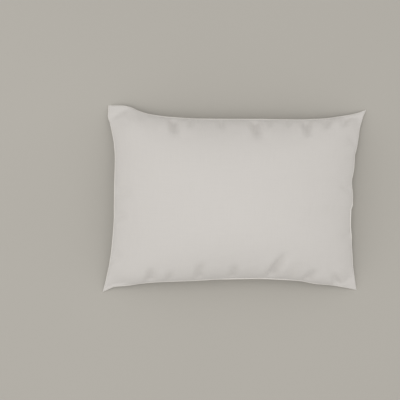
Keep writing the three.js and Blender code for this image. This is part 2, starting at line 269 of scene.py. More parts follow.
# The UV map that holds each vertex's place on the flat cloth.
FLAT_CLOTH = "flat_cloth"


def smoothstep(value, low, high):
    """Rises smoothly from 0 at the low value to 1 at the high one."""
    share = np.clip((value - low) / (high - low), 0, 1)
    return share * share * (3 - 2 * share)


def through(points, at):
    """A smooth curve through (place, value) points that never swings past them, read at given places."""
    places, values = np.array(points, float).T
    rises = np.diff(values) / np.diff(places)
    before, after = rises[:-1], rises[1:]
    same_way = before * after > 0
    inner = np.where(same_way, 2 * before * after / np.where(same_way, before + after, 1), 0)
    slopes = np.concatenate([[rises[0]], inner, [rises[-1]]])
    step = np.clip(np.searchsorted(places, at, side="right") - 1, 0, len(places) - 2)
    width = places[step + 1] - places[step]
    t = (at - places[step]) / width
    return (
        (1 + 2 * t) * (1 - t) ** 2 * values[step]
        + t * (1 - t) ** 2 * width * slopes[step]
        + t * t * (3 - 2 * t) * values[step + 1]
        + t * t * (t - 1) * width * slopes[step + 1]
    )


def grid_faces(number):
    """Quads over a grid of vertex numbers."""
    corners = [number[:-1, :-1], number[1:, :-1], number[1:, 1:], number[:-1, 1:]]
    return np.stack(corners, -1).reshape(-1, 4)


def new_object(name, points, faces, smooth=True):
    mesh = bpy.data.meshes.new(name)
    mesh.from_pydata([tuple(p) for p in points], [], [tuple(int(i) for i in f) for f in faces])
    mesh.update()
    if smooth:
        mesh.shade_smooth()
    piece = bpy.data.objects.new(name, mesh)
    bpy.context.scene.collection.objects.link(piece)
    return piece


def points_of(mesh):
    points = np.zeros(len(mesh.vertices) * 3)
    mesh.vertices.foreach_get("co", points)
    return points.reshape(-1, 3)


def set_uv(piece, flat):
    """Gives each vertex its place on the flat cloth, in metres, as the piece's UV map."""
    layer = piece.data.uv_layers.new(name=FLAT_CLOTH)
    corners = np.zeros(len(piece.data.loops), np.int32)
    piece.data.loops.foreach_get("vertex_index", corners)
    layer.data.foreach_set("uv", np.asarray(flat, np.float32).reshape(-1, 2)[corners].ravel())


def apply_modifiers(piece):
    """Bakes the piece's modifiers into a plain mesh of its own."""
    bpy.context.view_layer.update()
    graph = bpy.context.evaluated_depsgraph_get()
    mesh = bpy.data.meshes.new_from_object(piece.evaluated_get(graph), depsgraph=graph)
    piece.modifiers.clear()
    old, piece.data = piece.data, mesh
    bpy.data.meshes.remove(old)
    return piece


def subdivide(piece):
    modifier = piece.modifiers.new("Smooth", "SUBSURF")
    modifier.levels = modifier.render_levels = 1
    modifier.boundary_smooth = "PRESERVE_CORNERS"


def thicken(piece, thickness):
    """Gives cloth its thickness, inwards from its face."""
    modifier = piece.modifiers.new("Cloth", "SOLIDIFY")
    modifier.thickness = thickness
    modifier.offset = -1


def finish_piece(piece, material, slot, body, *nodes):
    """Gives a piece its material, says which body it rides on, and hides the frame's nodes that it stands
    for.
    """
    piece.data.materials.clear()
    piece.data.materials.append(material)
    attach(piece, body)
    if nodes:
        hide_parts(*nodes)
    if body == "case":
        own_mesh(piece)


def sweep(sections):
    """A closed mesh through rings of points: (number of rings, points in a ring, 3)."""
    rings, sides = sections.shape[:2]
    number = np.arange(rings * sides).reshape(rings, sides)
    around = np.hstack([number, number[:, :1]])
    faces = [tuple(face) for face in grid_faces(around)]
    faces += [tuple(number[0]), tuple(number[-1, ::-1])]
    return sections.reshape(-1, 3), faces


def make_outward(piece):
    """Turns a closed mesh's faces outwards."""
    shape = bmesh.new()
    shape.from_mesh(piece.data)
    bmesh.ops.recalc_face_normals(shape, faces=shape.faces)
    shape.to_mesh(piece.data)
    shape.free()


def waves(along, pitch, seed):
    """A gentle repeatable waviness, between about -1 and 1."""
    phases = np.random.default_rng(seed).uniform(0, 2 * math.pi, 4)
    return sum(
        np.sin(2 * math.pi * along / (pitch * share) + phase) * share
        for share, phase in zip((1.0, 0.61, 0.37, 1.7), phases)
    ) / 2.6


# ---------- The cushion's shape ----------


class Cushion:
    """A cushion over a square: a runs from -1 at the closed end to 1 at the mouth, b across the width."""

    def __init__(self, corners, inset, heights, tips, corner_height, drawn=1.0):
        self.corners = {
            name: corners[name] - inset * np.array(CORNER_SIDES[name], float) for name in corners
        }
        self.bottom_height, self.top_height = heights
        self.tips = tips
        self.corner_height = corner_height
        self.drawn = drawn
        self.length = self.corners["mouth_near"][0] - self.corners["closed_near"][0]
        self.width = self.corners["closed_far"][1] - self.corners["closed_near"][1]

    def edge(self, name, t):
        """Points along an edge, t from -1 to 1."""
        first, last = (self.corners[corner] for corner in EDGES[name]["ends"])
        share = (np.asarray(t, float)[..., None] + 1) / 2
        drawn = self.drawn * through(EDGES[name]["drawn"], share[..., 0])[..., None]
        return first * (1 - share) + last * share + drawn * np.array(EDGES[name]["inward"])

    def plan(self, a, b):
        """Where each point of the square lies, seen from above."""
        u, v = ((np.asarray(value, float)[..., None] + 1) / 2 for value in (a, b))
        corner = self.corners
        return (
            self.edge("near", a) * (1 - v) + self.edge("far", a) * v
            + self.edge("closed", b) * (1 - u) + self.edge("mouth", b) * u
            - corner["closed_near"] * (1 - u) * (1 - v) - corner["mouth_near"] * u * (1 - v)
            - corner["closed_far"] * (1 - u) * v - corner["mouth_far"] * u * v
        )

    def seam(self, a, b):
        """Height of the surface that the seam lies in."""
        dip = 1
        for way, start in zip((a, b), DIP_STARTS):
            dip = dip * np.clip((np.abs(way) - start) / (1 - start), 0, 1) ** DIP_POWER
        return SIDE_SEAM_HEIGHT + (self.corner_height - SIDE_SEAM_HEIGHT) * dip

    def fullness(self, a, b, powers):
        """How full the cushion is, from 0 at its seam to 1 at its middle."""
        full = (1 - np.abs(a) ** FALL_OFF) ** powers[0] * (1 - np.abs(b) ** FALL_OFF) ** powers[1]
        for name, (along, across) in self.tips.items():
            side = CORNER_SIDES[name]
            away_along = (1 - a * side[0]) * self.length / 2 / along
            away_across = (1 - b * side[1]) * self.width / 2 / across
            full = full * smoothstep(away_along + away_across, *TIP_FADE)
        return full

    def rise(self, a, b, upper):
        """Height of the upper or the lower sheet."""
        seam = self.seam(a, b)
        if upper:
            return seam + (self.top_height - seam) * self.fullness(a, b, UPPER_POWERS)
        full = np.clip(LOWER_FULLNESS * self.fullness(a, b, LOWER_POWERS), 0, 1)
        return seam + (self.bottom_height - seam) * full

    def skin(self, a, b, upper):
        return np.concatenate([self.plan(a, b), self.rise(a, b, upper)[..., None]], -1)

    def even_steps(self, columns, rows):
        """Places that step evenly over the upper sheet's cloth, and that cloth's length and width."""
        fine = np.linspace(-1, 1, 801)
        steps = []
        for a, b, count in ((fine, fine * 0, columns), (fine * 0, fine, rows)):
            line = self.skin(a, b, True)
            run = np.concatenate([[0], np.cumsum(np.linalg.norm(np.diff(line, axis=0), axis=1))])
            steps.append((np.interp(np.linspace(0, run[-1], count + 1), run, fine), run[-1]))
        return steps


class Skin:
    """A settled sheet known on a grid over its flat cloth, which other pieces lie along."""

    def __init__(self, flat_x, flat_y, points, inward):
        self.flat_x, self.flat_y, self.points = flat_x, flat_y, points
        normal = np.cross(np.gradient(points, axis=0), np.gradient(points, axis=1))
        normal /= np.maximum(np.linalg.norm(normal, axis=-1, keepdims=True), 1e-12)
        self.inward = normal * inward
        number = np.arange(points[..., 0].size).reshape(points.shape[:2])
        faces = [tuple(int(i) for i in face) for face in grid_faces(number)]
        self.tree = BVHTree.FromPolygons([tuple(p) for p in points.reshape(-1, 3)], faces)

    def at(self, x, y, depth=0.0):
        """Points at places on the flat cloth, or the given depth inside it."""
        i = np.interp(x, self.flat_x, np.arange(len(self.flat_x)))
        j = np.interp(y, self.flat_y, np.arange(len(self.flat_y)))
        i0 = np.minimum(i.astype(int), len(self.flat_x) - 2)
        j0 = np.minimum(j.astype(int), len(self.flat_y) - 2)
        u, v = (i - i0)[..., None], (j - j0)[..., None]
        found = []
        for grid in (self.points, self.inward):
            near = grid[i0, j0] * (1 - u) + grid[i0 + 1, j0] * u
            far = grid[i0, j0 + 1] * (1 - u) + grid[i0 + 1, j0 + 1] * u
            found.append(near * (1 - v) + far * v)
        return found[0] + found[1] * np.asarray(depth)[..., None]

    def nearest(self, place):
        """Numbers of the grid's column and row that lie nearest a place."""
        away = np.linalg.norm(self.points - np.array(place), axis=-1)
        return np.unravel_index(np.argmin(away), away.shape)

    def column_places(self, column, distances):
        """Flat places across the cloth at distances from its near seam over the settled sheet."""
        steps = np.linalg.norm(np.diff(self.points[column], axis=0), axis=1)
        return np.interp(distances, np.concatenate([[0], np.cumsum(steps)]), self.flat_y)

    def height(self, x, y, missing):
        """Height of the sheet over a place on the bed, or the value given where there is none."""
        hit = self.tree.ray_cast((x, y, 1.0), (0, 0, -1))[0]
        return missing if hit is None else hit.z


def pucker_depth(cushion, a, b):
    """How deep each place of the upper sheet is pulled in by the puckers."""
    plan = cushion.plan(a, b)
    pulled = np.zeros_like(a)
    for edge, place, half_width, reach, depth, lean in PUCKERS:
        inward = EDGES[edge]["inward"]
        along_axis = 0 if inward[0] == 0 else 1
        across_axis = 1 - along_axis
        t = a if along_axis == 0 else b
        foot = cushion.edge(edge, np.array([2 * place - 1.0]))[0]
        border = cushion.edge(edge, t)[..., across_axis]
        into = (plan[..., across_axis] - border) * inward[across_axis] / reach
        along = plan[..., along_axis] - foot[along_axis] - lean * np.clip(into, 0, 1)
        fade = smoothstep(into, 0, PUCKER_WHOLE[0]) * (1 - smoothstep(into, PUCKER_WHOLE[1], 1))
        valley = np.exp(-((along / half_width) ** 2))
        shoulder = SHOULDER_HEIGHT * np.exp(-((along / half_width / SHOULDER_WIDTH) ** 2))
        pulled += depth * fade * (valley - shoulder)
    return pulled


def crease_depth(cushion, a, b):
    """How far each place of both sheets sinks in the creases across the empty tips of cloth."""
    plan = cushion.plan(a, b)
    sunk = np.zeros_like(a)
    for name, first, last, half_width, depth in CREASES:
        corner, side = cushion.corners[name], np.array(CORNER_SIDES[name])
        first, last = (corner - side * step for step in (first, last))
        way = last - first
        share = np.clip(((plan - first) @ way) / (way @ way), 0, 1)
        off = np.linalg.norm(plan - first - share[..., None] * way, axis=-1)
        sunk += depth * np.exp(-((off / half_width) ** 2))
    from_ends = smoothstep((1 - np.abs(a)) * cushion.length / 2, 0, CREASE_FADE)
    from_sides = smoothstep((1 - np.abs(b)) * cushion.width / 2, 0, CREASE_FADE)
    return sunk * from_ends * from_sides


# ---------- Cloth that settles ----------


SETTLING_FRAMES = 20


def settle(piece, cut, pinned, cap, pressure):
    """Lets sewn cloth, cut flat as given, settle with its seam held. No point moves past the cap."""
    start = points_of(piece.data)
    group = piece.vertex_groups.new(name="seam")
    group.add([int(i) for i in pinned], 1.0, "REPLACE")
    piece.shape_key_add(name="sewn")
    flat = piece.shape_key_add(name="cut")
    flat.data.foreach_set("co", np.asarray(cut, np.float32).ravel())
    modifier = piece.modifiers.new("Settle", "CLOTH")
    cloth = modifier.settings
    cloth.rest_shape_key = flat
    cloth.quality = 6
    cloth.mass = 0.2
    cloth.tension_stiffness = cloth.compression_stiffness = 20
    cloth.shear_stiffness = 6
    cloth.bending_stiffness = 2.0
    cloth.tension_damping = cloth.compression_damping = cloth.shear_damping = 12
    cloth.vertex_group_mass = "seam"
    cloth.use_pressure = True
    cloth.uniform_pressure_force = pressure
    cloth.effector_weights.gravity = 0
    modifier.collision_settings.use_collision = False
    modifier.collision_settings.use_self_collision = False
    modifier.point_cache.frame_start = 1
    modifier.point_cache.frame_end = SETTLING_FRAMES
    for number in range(1, SETTLING_FRAMES + 1):
        bpy.context.scene.frame_set(number)
    graph = bpy.context.evaluated_depsgraph_get()
    settled = piece.evaluated_get(graph).to_mesh()
    shift = points_of(settled) - start
    piece.evaluated_get(graph).to_mesh_clear()
    piece.modifiers.remove(modifier)
    piece.shape_key_clear()
    piece.vertex_groups.clear()
    bpy.context.scene.frame_set(1)
    length = np.linalg.norm(shift, axis=1, keepdims=True)
    held = np.tanh(length / cap) * cap / np.maximum(length, 1e-9)
    return start + shift * held


# ---------- Materials ----------


class Socket:
    """A value in a material's node tree. Arithmetic on it adds Math nodes."""

    def __init__(self, maker, socket):
        self.maker = maker
        self.socket = socket

    def math(self, operation, *values):
        return self.maker.node("ShaderNodeMath", {"operation": operation}, dict(enumerate(values)))

    def sine(self):
        return self.math("SINE", self)

    def __add__(self, other):
        return self.math("ADD", self, other)

    __radd__ = __add__

    def __sub__(self, other):
        return self.math("SUBTRACT", self, other)

    def __mul__(self, other):
        return self.math("MULTIPLY", self, other)


class Material:
    """A node material under construction, with its Principled shader at hand."""

    def __init__(self, name):
        self.material = bpy.data.materials.new(name)
        self.material.use_nodes = True
        self.tree = self.material.node_tree
        self.tree.nodes.clear()
        self.shader = self.tree.nodes.new("ShaderNodeBsdfPrincipled")
        output = self.tree.nodes.new("ShaderNodeOutputMaterial")
        self.tree.links.new(self.shader.outputs[0], output.inputs["Surface"])

    def node(self, kind, settings=None, inputs=None, output=0):
        made = self.tree.nodes.new(kind)
        for name, value in (settings or {}).items():
            setattr(made, name, value)
        self.feed(made, inputs or {})
        return Socket(self, made.outputs[output])

    def feed(self, node, inputs):
        for name, value in inputs.items():
            if isinstance(value, Socket):
                self.tree.links.new(value.socket, node.inputs[name])
            else:
                node.inputs[name].default_value = value

    def shade(self, **inputs):
        self.feed(self.shader, {name.replace("_", " "): value for name, value in inputs.items()})
        return self.material

    def flat_cloth(self):
        """The piece's flat-cloth map, and the places along and across the cloth in it."""
        flat = self.node("ShaderNodeUVMap", {"uv_map": FLAT_CLOTH})
        along = self.node("ShaderNodeSeparateXYZ", {}, {0: flat})
        return flat, along, Socket(self, along.socket.node.outputs[1])

    def object_place(self):
        return self.node("ShaderNodeTexCoord", output=3)

    def mapped(self, coordinates, scale):
        return self.node("ShaderNodeMapping", {}, {"Vector": coordinates, "Scale": scale})

    def noise(self, coordinates, scale, detail=2.0, roughness=0.5):
        return self.node("ShaderNodeTexNoise", {}, {
            "Vector": coordinates, "Scale": scale, "Detail": detail, "Roughness": roughness})

    def mix_colour(self, factor, first, second):
        return self.node("ShaderNodeMix", {"data_type": "RGBA"}, {0: factor, 6: first, 7: second}, output=2)

    def bump(self, height, distance, under=None):
        inputs = {"Height": height, "Distance": distance, "Strength": 1.0}
        if under is not None:
            inputs["Normal"] = under
        return self.node("ShaderNodeBump", {}, inputs)


def opaque(colour, share=1.0):
    return (*(channel * share for channel in colour), 1.0)


def woven_cloth(name, colour, pitch, sheen, slub, crease):
    """Plain-weave cloth over the piece's flat-cloth map: threads, uneven yarn, soft creases and a sheen."""
    material = Material(name)
    flat, along, across = material.flat_cloth()
    turns = 2 * math.pi / pitch
    threads = (along * turns).sine() * (across * turns).sine()
    yarn_warp = material.noise(material.mapped(flat, (900, 14, 1)), 1.0, 2.0)
    yarn_weft = material.noise(material.mapped(flat, (14, 900, 1)), 1.0, 2.0)
    yarn = yarn_warp + yarn_weft - 1.0
    hand = material.noise(flat, 22.0, 3.0, 0.55)
    tone = material.noise(flat, 5.0, 2.0)
    colour_mix = material.mix_colour(
        0.5 + yarn * slub + (tone - 0.5) * 0.5, opaque(colour, 0.965), opaque(colour, 1.035))
    soft = material.bump(hand, crease)
    slubs = material.bump(yarn, 0.00012, under=soft)
    weave = material.bump(threads, 0.00005, under=slubs)
    return material.shade(
        Base_Color=colour_mix, Roughness=0.82 + (yarn * 0.08), Normal=weave,
        Sheen_Weight=sheen, Sheen_Roughness=0.5, Specular_IOR_Level=0.25)


def twill(name, colour):
    """Dense ticking with the fine diagonal of a twill."""
    material = Material(name)
    flat, along, across = material.flat_cloth()
    ridges = ((along + across * 0.8) * (2 * math.pi / 0.0009)).sine()
    hand = material.noise(flat, 26.0, 3.0, 0.5)
    yarn = material.noise(material.mapped(flat, (700, 20, 1)), 1.0, 2.0)
    tone = material.noise(flat, 6.0, 2.0)
    share = 0.5 + (tone - 0.5) * 0.6 + (yarn - 0.5) * 0.3
    mixed = material.mix_colour(share, opaque(colour, 0.96), opaque(colour, 1.03))
    normal = material.bump(ridges, 0.00008, under=material.bump(hand, 0.0008))
    return material.shade(
        Base_Color=mixed, Roughness=0.76 + yarn * 0.1, Normal=normal,
        Sheen_Weight=0.15, Sheen_Roughness=0.5, Specular_IOR_Level=0.3)


def corded(name, colour):
    """Cloth drawn tight over a twisted cord."""
    material = Material(name)
    flat, along, around = material.flat_cloth()
    strands = ((along + around * 1.2) * (2 * math.pi / 0.0035)).sine()
    yarn = material.noise(material.mapped(flat, (400, 400, 1)), 1.0, 2.0)
    share = 0.5 + strands * 0.2 + (yarn - 0.5) * 0.3
    mixed = material.mix_colour(share, opaque(colour, 0.9), opaque(colour, 1.0))
    normal = material.bump(yarn, 0.0001, under=material.bump(strands, 0.0003))
    return material.shade(
        Base_Color=mixed, Roughness=0.8 + yarn * 0.08, Normal=normal, Sheen_Weight=0.1)


def spun_thread(name, colour):
    material = Material(name)
    place = material.object_place()
    fuzz = material.noise(place, 2500.0, 2.0)
    mixed = material.mix_colour(fuzz, opaque(colour, 0.88), opaque(colour, 1.02))
    return material.shade(
        Base_Color=mixed, Roughness=0.6 + fuzz * 0.15, Normal=material.bump(fuzz, 0.0001))


def satin_label(name):
    material = Material(name)
    flat = material.node("ShaderNodeUVMap", {"uv_map": FLAT_CLOTH})
    yarn = material.noise(material.mapped(flat, (60, 1400, 1)), 1.0, 2.0)
    mixed = material.mix_colour(yarn, (0.8, 0.79, 0.76, 1), (0.9, 0.89, 0.87, 1))
    return material.shade(
        Base_Color=mixed, Roughness=0.42 + yarn * 0.12, Normal=material.bump(yarn, 0.00008),
        Sheen_Weight=0.1)


def batting(name):
    """Loose white fibre."""
    material = Material(name)
    place = material.object_place()
    clumps = material.noise(place, 45.0, 3.0, 0.6)
    strands = material.noise(place, 700.0, 4.0, 0.7)
    mixed = material.mix_colour(clumps, (0.82, 0.81, 0.79, 1), (0.92, 0.92, 0.91, 1))
    normal = material.bump(strands, 0.0008, under=material.bump(clumps, 0.004))
    return material.shade(
        Base_Color=mixed, Roughness=0.9 + strands * 0.08, Normal=normal, Sheen_Weight=0.5)


def plain_floor(name, colour):
    material = Material(name)
    place = material.object_place()
    tone = material.noise(place, 1.4, 2.0)
    mixed = material.mix_colour(tone, opaque(colour, 0.97), opaque(colour, 1.03))
    return material.shade(Base_Color=mixed, Roughness=0.9, Specular_IOR_Level=0.15)


# ---------- Pieces ----------


# The settled sheets that other pieces lie along, by name.
SKINS = {}

# The flap and the hems are pressed closer together where the case's sheets have less room than this.
LAYER_STACK = 0.012
TIGHTEST_STACK = 0.02

# Between two layers of cloth, and how far the loose ones wander from lying even.
LAYER_GAP = 0.0003
RUFFLE = 0.0002
RUFFLE_PITCH = 0.06
FLAP_SEED = 5
LABEL_SEED = 8

# How hard the filling pushes out on the case and on the ticking while they settle.
CASE_PRESSURE = 2.5
INSERT_PRESSURE = 1.5

# The insert's puckers are this much of the case's.
INSERT_PUCKER = 0.55

# The lower sheet's puckers are this much of the upper sheet's.
UNDERSIDE_PUCKER = 0.5

# No pucker reaches deeper than this share of the room between the sheets.
DEEPEST_PUCKER = 0.5

# No crease comes closer to the bed than this.
CREASE_CLEARANCE = 0.001


def sew(cushion, columns, rows, pucker, give, pressure):
    """Cuts two equal sheets to the cushion, sews them at the edge and lets them settle.

    Returns the flat cloth's places along and across, and the points of both sheets, upper first.
    """
    (places_a, length), (places_b, width) = cushion.even_steps(columns, rows)
    a, b = np.meshgrid(places_a, places_b, indexing="ij")
    flat_x = np.linspace(-length / 2, length / 2, len(places_a))
    flat_y = np.linspace(-width / 2, width / 2, len(places_b))
    flat = np.dstack(np.meshgrid(flat_x, flat_y, indexing="ij"))
    front, back = cushion.skin(a, b, True), cushion.skin(a, b, False)
    on_seam = np.zeros(a.shape, bool)
    on_seam[[0, -1], :] = on_seam[:, [0, -1]] = True
    upper = np.arange(a.size).reshape(a.shape)
    lower = np.where(on_seam, upper, a.size + np.cumsum(~on_seam).reshape(a.shape) - 1)
    points = np.vstack([front.reshape(-1, 3), back[~on_seam]])
    sewn = new_object("sewn", points, np.vstack([grid_faces(upper), grid_faces(lower)[:, ::-1]]))
    cut = np.vstack([flat.reshape(-1, 2), flat[~on_seam]])
    cut = np.hstack([cut, np.zeros((len(cut), 1))])
    points = settle(sewn, cut, upper[on_seam], give, pressure)
    bpy.data.objects.remove(sewn)
    front, back = points[upper], points[lower]
    room = np.linalg.norm(front - back, axis=-1)
    pulled = np.minimum(pucker * pucker_depth(cushion, a, b), DEEPEST_PUCKER * room)
    front = Skin(flat_x, flat_y, front, -1).at(flat[..., 0], flat[..., 1], pulled)
    back = Skin(flat_x, flat_y, back, 1).at(flat[..., 0], flat[..., 1], UNDERSIDE_PUCKER * pulled)
    deepest = np.maximum(back[..., 2] - CASE_BOTTOM - CREASE_CLEARANCE, 0)
    sunk = np.minimum(pucker * crease_depth(cushion, a, b), deepest)
    front[..., 2] -= sunk
    back[..., 2] -= sunk
    return flat_x, flat_y, front, back


def sheet_piece(name, flat_x, flat_y, points, upper, cloth):
    """One of a cushion's two sheets as cloth with a thickness, which lies inside the points given."""
    faces = grid_faces(np.arange(points[..., 0].size).reshape(points.shape[:2]))
    piece = new_object(name, points.reshape(-1, 3), faces if upper else faces[:, ::-1])
    set_uv(piece, np.dstack(np.meshgrid(flat_x, flat_y, indexing="ij")))
    subdivide(piece)
    thicken(piece, cloth)
    return apply_modifiers(piece)


def strip(name, skin, x, y, depth, thickness, ruffle=0.0, seed=0):
    """A closed strip of cloth that lies the given depth inside a skin, over places on its flat cloth."""
    grid_x, grid_y = np.meshgrid(x, y, indexing="ij")
    wander = ruffle * waves(grid_x + grid_y * 0.7, RUFFLE_PITCH, seed)
    room = np.ones_like(grid_x)
    if skin is SKINS["case_back"]:
        across = SKINS["case_front"].at(grid_x, grid_y) - skin.at(grid_x, grid_y)
        room = np.clip(np.linalg.norm(across, axis=-1) / LAYER_STACK, TIGHTEST_STACK, 1)
    under = skin.at(grid_x, grid_y, (depth + wander) * room)
    over = skin.at(grid_x, grid_y, (depth + wander + thickness) * room)
    return slab(name, under, over, np.dstack([grid_x, grid_y]))


def slab(name, under, over, flat):
    """A closed thin body between two grids of points."""
    count = under[..., 0].size
    number = np.arange(count).reshape(under.shape[:2])
    border = np.concatenate([number[:, 0], number[-1, 1:], number[-2::-1, -1], number[0, -2:0:-1]])
    after = np.roll(border, -1)
    walls = np.stack([border, after, after + count, border + count], -1)
    faces = np.vstack([grid_faces(number), grid_faces(number)[:, ::-1] + count, walls])
    piece = new_object(name, np.vstack([under.reshape(-1, 3), over.reshape(-1, 3)]), faces)
    set_uv(piece, np.vstack([flat.reshape(-1, 2)] * 2))
    make_outward(piece)
    return piece


def case_cushion(inset):
    """The case's shape, the given distance inside its outline."""
    return Cushion(CASE_CORNERS, inset, (CASE_BOTTOM, CASE_TOP), CASE_TIPS, CORNER_SEAM_HEIGHT)


class PILLOW_OT_case(bpy.types.Operator):
    """Make the pillowcase's two panels, settled over their filling"""

    bl_idname = "pillow.make_case"
    bl_label = "Pillowcase panels"

    def execute(self, context):
        settings = context.scene.pillow.case
        cotton = woven_cloth("case_cotton", settings.colour, 0.0005, 0.3, 0.8, 0.0012)
        cushion = case_cushion(settings.rim)
        flat_x, flat_y, front, back = sew(
            cushion, settings.columns, settings.rows, 1.0, settings.give, CASE_PRESSURE)
        back[..., 2] = np.maximum(back[..., 2], CASE_BOTTOM)
        for name, points, inward, node in (
            ("case_front", front, -1, "case_front_panel"),
            ("case_back", back, 1, "case_back_panel"),
        ):
            SKINS[name] = Skin(flat_x, flat_y, points, inward)
            piece = sheet_piece(name, flat_x, flat_y, points, inward < 0, settings.cloth)
            name == "case_front"
            finish_piece(piece, cotton, "case_cotton", "case", node)
        return {"FINISHED"}


class PILLOW_OT_seams(bpy.types.Operator):
    """Make the pressed rim outside the pillowcase's seams"""

    bl_idname = "pillow.make_seams"
    bl_label = "Pillowcase seams"

    def execute(self, context):
        cotton = bpy.data.materials["case_cotton"]
        for edge, node in (
            ("far", "case_far_side_seam"),
            ("near", "case_near_side_seam"),
            ("closed", "case_closed_end_seam"),
        ):
            piece = rim("case_" + edge + "_seam_rim", edge)
            finish_piece(piece, cotton, "case_cotton", "case", node)
        return {"FINISHED"}


# The upper half of the rim's section: shares of its width and of its half thickness.
RIM_PROFILE = ((-0.3, 0.3), (0.0, 0.55), (0.25, 0.8), (0.5, 0.85), (0.78, 0.7), (0.94, 0.4), (1.0, 0.0))
RIM_HALF_THICKNESS = 0.0008
RIM_STEPS = 221

# The rim's fold lifts and falls, less so near the corners, and its thickness changes, both in waves.
RIM_LIFT, RIM_LIFT_PITCH, RIM_LIFT_FADE = 0.0011, 0.075, 0.12
RIM_PUFF, RIM_PUFF_PITCH = 0.25, 0.021
RIM_CLEARANCE = 0.0004

# Where the rim lies level instead of hanging: the shares of the way along each edge.
LEVEL_RIM = {"far": (), "near": ((0.47, 0.73),), "closed": (), "mouth": ((0.28, 0.46),)}
LEVEL_RIM_EASE = 0.03


def rim_lines(edge, shares, halves):
    """Lines along one edge's rim, at shares of the way from its stitching out to its fold."""
    settings = bpy.context.scene.pillow.case
    outer, inner = case_cushion(0), case_cushion(settings.rim)
    t = np.linspace(-1, 1, RIM_STEPS)
    held = np.ones_like(t)
    a, b = {"far": (t, held), "near": (t, -held), "closed": (-held, t), "mouth": (held, t)}[edge]
    fold, stitched = outer.edge(edge, t), inner.edge(edge, t)
    way = (t + 1) / 2
    run = way * np.linalg.norm(fold[-1] - fold[0])
    seed = tuple(EDGES).index(edge)
    lift = RIM_LIFT * waves(run, RIM_LIFT_PITCH, seed) * smoothstep(1 - np.abs(t), 0, RIM_LIFT_FADE)
    puff = 1 + RIM_PUFF * waves(run, RIM_PUFF_PITCH, seed + 10)
    hang = np.ones_like(t)
    for first, last in LEVEL_RIM[edge]:
        begun = smoothstep(way, first - LEVEL_RIM_EASE, first + LEVEL_RIM_EASE)
        hang *= 1 - begun * smoothstep(way, last + LEVEL_RIM_EASE, last - LEVEL_RIM_EASE)
    lines = []
    for share, half in zip(shares, halves):
        plan = stitched * (1 - share) + fold * share
        height = outer.seam(a, b) + lift * share ** 2 + half * RIM_HALF_THICKNESS * puff
        height = height - settings.rim_drop * hang * max(share, 0)
        height = np.maximum(height, CASE_BOTTOM + RIM_CLEARANCE * (1 + half))
        lines.append(np.column_stack([plan, height]))
    return np.stack(lines, 1), run


def rim(name, edge):
    """The pressed cloth outside the seam along one edge, from its allowance inside to its fold."""
    ring = list(RIM_PROFILE) + [(share, -half) for share, half in RIM_PROFILE[-2::-1]]
    shares, halves = zip(*ring)
    sections, run = rim_lines(edge, shares, halves)
    points, faces = sweep(sections)
    piece = new_object(name, points, faces)
    width = bpy.context.scene.pillow.case.rim
    across = np.array([share * width if half >= 0 else (2 - share) * width for share, half in ring])
    set_uv(piece, np.stack(np.broadcast_arrays(run[:, None], across[None, :]), -1))
    make_outward(piece)
    return piece


def join(pieces):
    """Makes one piece of several, under the first one's name."""
    with bpy.context.temp_override(active_object=pieces[0], selected_editable_objects=pieces):
        bpy.ops.object.join()
    return pieces[0]


class PILLOW_OT_flap(bpy.types.Operator):
    """Make the fold at the mouth, the tuck-in flap and the hems"""

    bl_idname = "pillow.make_flap"
    bl_label = "Tuck-in flap and hems"

    hem_width: length_setting("Hem", "Width of the flap's hem", 0.015)
    side_ease: length_setting("Side ease", "How far the flap stops short of the side seams", 0.035)
    mouth_inset: length_setting("Mouth inset", "How far inside the mouth's fold the layers end", 0.002)

    def execute(self, context):
        settings = context.scene.pillow.case
        cotton = bpy.data.materials["case_cotton"]
        back, cloth = SKINS["case_back"], settings.cloth
        mouth, side = back.flat_x[-1] - self.mouth_inset, back.flat_y[-1] - self.side_ease
        free_edge = mouth - settings.flap_reach
        across = np.linspace(-side, side, 121)
        back_hem_depth = cloth + LAYER_GAP
        flap_depth = back_hem_depth + 2 * cloth + LAYER_GAP
        flap_hem_depth = flap_depth + cloth + LAYER_GAP
        flap_rows = np.linspace(free_edge, mouth, 49)
        flap = strip("tuck_in_flap", back, flap_rows, across, flap_depth, cloth, RUFFLE, FLAP_SEED)
        flap = join([flap, rim("mouth_fold", "mouth")])
        hem_rows = np.linspace(free_edge, free_edge + self.hem_width, 9)
        flap_hem = strip("flap_hem_band", back, hem_rows, across, flap_hem_depth, cloth, RUFFLE, FLAP_SEED)
        hem_rows = np.linspace(mouth - settings.back_hem, mouth, 11)
        back_hem = strip("back_hem_band", back, hem_rows, across, back_hem_depth, cloth)
        2 * side
        finish_piece(flap, cotton, "case_cotton", "case", "case_flap")
        finish_piece(flap_hem, cotton, "case_cotton", "case", "case_flap_hem")
        finish_piece(back_hem, cotton, "case_cotton", "case", "case_back_hem")
        return {"FINISHED"}


# ---------- Stitches ----------


class Tree:
    """A geometry node tree under construction."""

    def __init__(self, name):
        self.tree = bpy.data.node_groups.new(name, "GeometryNodeTree")
        self.tree.is_modifier = True

    def socket(self, name, kind, way="INPUT", default=None):
        made = self.tree.interface.new_socket(name, in_out=way, socket_type=kind)
        if default is not None:
            made.default_value = default
        return made.identifier

    def node(self, kind, settings=None, inputs=None):
        made = self.tree.nodes.new(kind)
        for name, value in (settings or {}).items():
            setattr(made, name, value)
        for name, value in (inputs or {}).items():
            if isinstance(value, bpy.types.NodeSocket):
                self.tree.links.new(value, made.inputs[name])
            else:
                made.inputs[name].default_value = value
        return made


